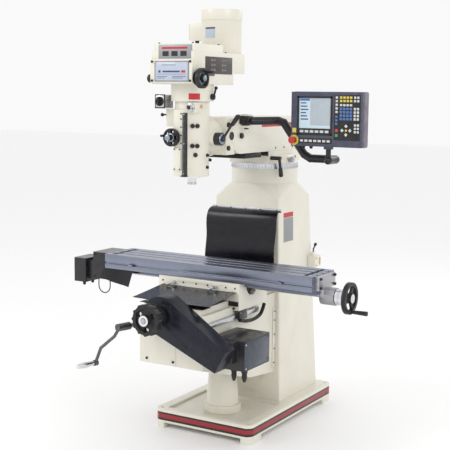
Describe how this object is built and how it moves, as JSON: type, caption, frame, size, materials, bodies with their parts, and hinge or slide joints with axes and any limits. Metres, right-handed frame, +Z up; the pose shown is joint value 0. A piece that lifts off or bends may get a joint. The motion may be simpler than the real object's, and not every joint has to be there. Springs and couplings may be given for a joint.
{
  "type": "vertical milling machine",
  "caption": "Turret knee mill: ram-mounted tilting head with sliding quill and spindle, driven table and saddle on an elevating knee, hand cranks and a swinging control pendant.",
  "frame": {"origin": "on the floor at the centre of the four anchor holes in the base", "axes": "+X to the operator's right, +Y away from the operator to the back, +Z up"},
  "size_m": [1.7693, 1.6255, 2.234],
  "materials": {
    "cream_casting": "cream enamel over cast iron",
    "cream_sheet": "cream enamel over aluminium and sheet metal",
    "ground_steel": "ground steel",
    "bright_metal": "satin metal",
    "bronze_nuts": "cast bronze",
    "black_metal": "black oxide and black paint",
    "black_plastic": "moulded black plastic and black paint",
    "navy_sheet": "dark textured paint",
    "black_rubber": "smooth black rubber",
    "red_plastic": "glossy red plastic"
  },
  "bodies": {
    "frame": {"base": "cream_casting", "column": "cream_casting", "pedestal": "cream_casting", "knee_nut": "bronze_nuts", "lubricator": "cream_sheet", "rear_way_cover": "black_rubber"},
    "oil_lever": {"lubricator_lever": "black_plastic"},
    "turret": {"turret": "cream_casting"},
    "ram_lock": {"ram_lock_lever": "black_metal"},
    "ram_pinion": {"ram_pinion": "ground_steel"},
    "ram": {"ram": "cream_casting"},
    "adapter": {"ram_adapter": "cream_casting", "adapter_bolts": "black_metal"},
    "head": {"head_housing": "cream_casting", "gear_housing": "cream_casting", "belt_housing": "cream_sheet", "name_panel": "cream_sheet", "motor": "cream_sheet", "drum_switch": "bright_metal", "depth_scale": "black_metal", "drive_belt": "black_rubber"},
    "motor_rotor": {"motor_shaft": "ground_steel"},
    "pulley": {"spindle_pulley": "ground_steel"},
    "quill": {"quill": "ground_steel", "spindle_bearings": "ground_steel"},
    "spindle": {"spindle": "ground_steel", "drawbar": "ground_steel"},
    "quill_lever": {"quill_lever": "black_metal"},
    "feed_wheel": {"feed_wheel": "black_metal"},
    "feed_lever": {"feed_lever": "black_metal"},
    "speed_wheel": {"speed_wheel": "black_plastic"},
    "switch_knob": {"switch_knob": "black_plastic"},
    "range_lever": {"range_lever": "black_metal"},
    "feed_dial": {"feed_dial": "bright_metal"},
    "pendant_arm": {"pendant_arm": "navy_sheet"},
    "pendant": {"pendant": "navy_sheet"},
    "estop": {"estop_button": "red_plastic"},
    "knee": {"knee": "cream_casting", "y_motor": "black_plastic", "y_guard": "navy_sheet", "y_scale": "bright_metal"},
    "knee_screw": {"knee_screw": "ground_steel"},
    "crank": {"crank_shaft": "ground_steel", "knee_crank": "black_metal"},
    "crank_grip": {"crank_grip": "bright_metal"},
    "y_screw": {"y_screw": "ground_steel", "y_handwheel": "black_plastic"},
    "saddle": {"saddle": "cream_casting", "saddle_nuts": "bronze_nuts", "front_way_cover": "black_rubber", "scale_cable": "black_rubber"},
    "lock_left": {"table_lock_left": "ground_steel"},
    "lock_right": {"table_lock_right": "ground_steel"},
    "table": {"table": "ground_steel", "x_end_bracket": "ground_steel", "x_motor": "black_metal", "x_flap": "black_rubber"},
    "x_screw": {"x_screw": "ground_steel", "x_handwheel": "black_plastic"},
    "x_grip": {"x_grip": "black_plastic"}
  },
  "joints": [
    {"name": "oil_pump", "type": "slide", "parent": "frame", "child": "oil_lever", "axis": [0, 0, 1], "range_m": [0, 0.02], "stiffness_N_per_m": 120},
    {"name": "turret_swivel", "type": "hinge", "parent": "frame", "child": "turret", "pos_m": [0, 0.167, 1.395], "axis": [0, 0, 1], "range_deg": [-180, 180]},
    {"name": "ram_lock", "type": "hinge", "parent": "turret", "child": "ram_lock", "pos_m": [0.125, 0.01, 1.458], "axis": [-1, 0, 0], "range_deg": [0, 60]},
    {"name": "ram_slide", "type": "slide", "parent": "turret", "child": "ram", "axis": [0, 1, 0], "range_m": [-0.08, 0.39]},
    {"name": "ram_rack", "type": "hinge", "parent": "turret", "child": "ram_pinion", "pos_m": [0, 0.13, 1.4477], "axis": [-1, 0, 0], "range_deg": [-208.36, 1015.72]},
    {"name": "head_nod", "type": "hinge", "parent": "ram", "child": "adapter", "pos_m": [0, -0.32, 1.59], "axis": [-1, 0, 0], "range_deg": [-45, 45]},
    {"name": "head_tilt", "type": "hinge", "parent": "adapter", "child": "head", "pos_m": [0, -0.47, 1.59], "axis": [0, 1, 0], "range_deg": [-90, 45]},
    {"name": "pulley_spin", "type": "hinge", "parent": "head", "child": "pulley", "pos_m": [0, -0.595, 1.9], "axis": [0, 0, 1], "continuous": true},
    {"name": "motor_spin", "type": "hinge", "parent": "head", "child": "motor_rotor", "pos_m": [0, -0.32, 2], "axis": [0, 0, 1], "continuous": true},
    {"name": "quill_travel", "type": "slide", "parent": "head", "child": "quill", "axis": [0, 0, 1], "range_m": [-0.127, 0]},
    {"name": "quill_feed", "type": "hinge", "parent": "head", "child": "quill_lever", "pos_m": [0.138, -0.535, 1.58], "axis": [-1, 0, 0], "range_deg": [-330.76, 0]},
    {"name": "spindle_spin", "type": "hinge", "parent": "quill", "child": "spindle", "pos_m": [0, -0.595, 1.5], "axis": [0, 0, 1], "continuous": true},
    {"name": "feed_wheel_spin", "type": "hinge", "parent": "head", "child": "feed_wheel", "pos_m": [-0.052, -0.69, 1.588], "axis": [0, 1, 0], "continuous": true},
    {"name": "feed_engage", "type": "hinge", "parent": "head", "child": "feed_lever", "pos_m": [-0.12, -0.6, 1.698], "axis": [1, 0, 0], "range_deg": [-20, 30]},
    {"name": "speed_wheel_turn", "type": "hinge", "parent": "head", "child": "speed_wheel", "pos_m": [0.122, -0.748, 1.879], "axis": [1, 0, 0], "range_deg": [-170, 170]},
    {"name": "switch_turn", "type": "hinge", "parent": "head", "child": "switch_knob", "pos_m": [-0.129, -0.69, 1.765], "axis": [0, 1, 0], "range_deg": [-60, 60]},
    {"name": "range_shift", "type": "hinge", "parent": "head", "child": "range_lever", "pos_m": [0.104, -0.58, 1.79], "axis": [1, 0, 0], "range_deg": [-45, 45]},
    {"name": "feed_select", "type": "hinge", "parent": "head", "child": "feed_dial", "pos_m": [0.055, -0.69, 1.738], "axis": [0, 1, 0], "range_deg": [-60, 60]},
    {"name": "arm_swing", "type": "hinge", "parent": "ram", "child": "pendant_arm", "pos_m": [0.155, -0.318, 1.668], "axis": [0, 0, -1], "range_deg": [-45, 15]},
    {"name": "pendant_turn", "type": "hinge", "parent": "pendant_arm", "child": "pendant", "pos_m": [0.615, -0.297, 1.55], "axis": [0, 0, 1], "range_deg": [-5, 90]},
    {"name": "estop_press", "type": "slide", "parent": "pendant", "child": "estop", "axis": [0, 1, 0], "range_m": [0, 0.005], "stiffness_N_per_m": 1500},
    {"name": "knee_lift", "type": "slide", "parent": "frame", "child": "knee", "axis": [0, 0, 1], "range_m": [-0.08, 0.325], "deforming": ["rear_way_cover"]},
    {"name": "knee_screw_spin", "type": "hinge", "parent": "knee", "child": "knee_screw", "pos_m": [0, -0.273, 0.6], "axis": [0, 0, 1], "range_deg": [-23401, 5761]},
    {"name": "knee_crank_turn", "type": "hinge", "parent": "knee", "child": "crank", "pos_m": [0, -0.273, 0.66], "axis": [0.2419, 0.9703, 0], "range_deg": [-11521, 46801]},
    {"name": "crank_grip_spin", "type": "hinge", "parent": "crank", "child": "crank_grip", "pos_m": [-0.29719, -1.08214, 0.47823], "axis": [0.2419, 0.9703, 0], "continuous": true},
    {"name": "y_wheel_turn", "type": "hinge", "parent": "knee", "child": "y_screw", "pos_m": [0, -0.9, 0.722], "axis": [0, 1, 0], "range_deg": [-14401, 9361]},
    {"name": "saddle_travel", "type": "slide", "parent": "knee", "child": "saddle", "axis": [0, 1, 0], "range_m": [-0.2, 0.13], "deforming": ["front_way_cover"]},
    {"name": "lock_left", "type": "hinge", "parent": "saddle", "child": "lock_left", "pos_m": [-0.165, -0.5, 0.816], "axis": [0, 1, 0], "range_deg": [-45, 45]},
    {"name": "lock_right", "type": "hinge", "parent": "saddle", "child": "lock_right", "pos_m": [0.09, -0.5, 0.816], "axis": [0, 1, 0], "range_deg": [-45, 45]},
    {"name": "table_travel", "type": "slide", "parent": "saddle", "child": "table", "axis": [1, 0, 0], "range_m": [-0.381, 0.365], "deforming": ["x_flap"]},
    {"name": "x_wheel_turn", "type": "hinge", "parent": "table", "child": "x_screw", "pos_m": [0.7, -0.365, 0.812], "axis": [1, 0, 0], "range_deg": [-27433, 26281]},
    {"name": "x_grip_spin", "type": "hinge", "parent": "x_screw", "child": "x_grip", "pos_m": [0.83, -0.355, 0.743], "axis": [1, 0, 0], "continuous": true}
  ],
  "couplings": [
    {"joint": "ram_rack", "follows": "ram_slide", "rad_per_m": 45.455},
    {"joint": "motor_spin", "follows": "pulley_spin", "ratio": 1.36},
    {"joint": "spindle_spin", "follows": "pulley_spin", "ratio": 1},
    {"joint": "quill_feed", "follows": "quill_travel", "rad_per_m": 45.455},
    {"joint": "knee_crank_turn", "follows": "knee_lift", "rad_per_m": 2513.3},
    {"joint": "knee_screw_spin", "follows": "knee_lift", "rad_per_m": -1256.6},
    {"joint": "y_wheel_turn", "follows": "saddle_travel", "rad_per_m": 1256.6},
    {"joint": "x_wheel_turn", "follows": "table_travel", "rad_per_m": 1256.6}
  ]
}
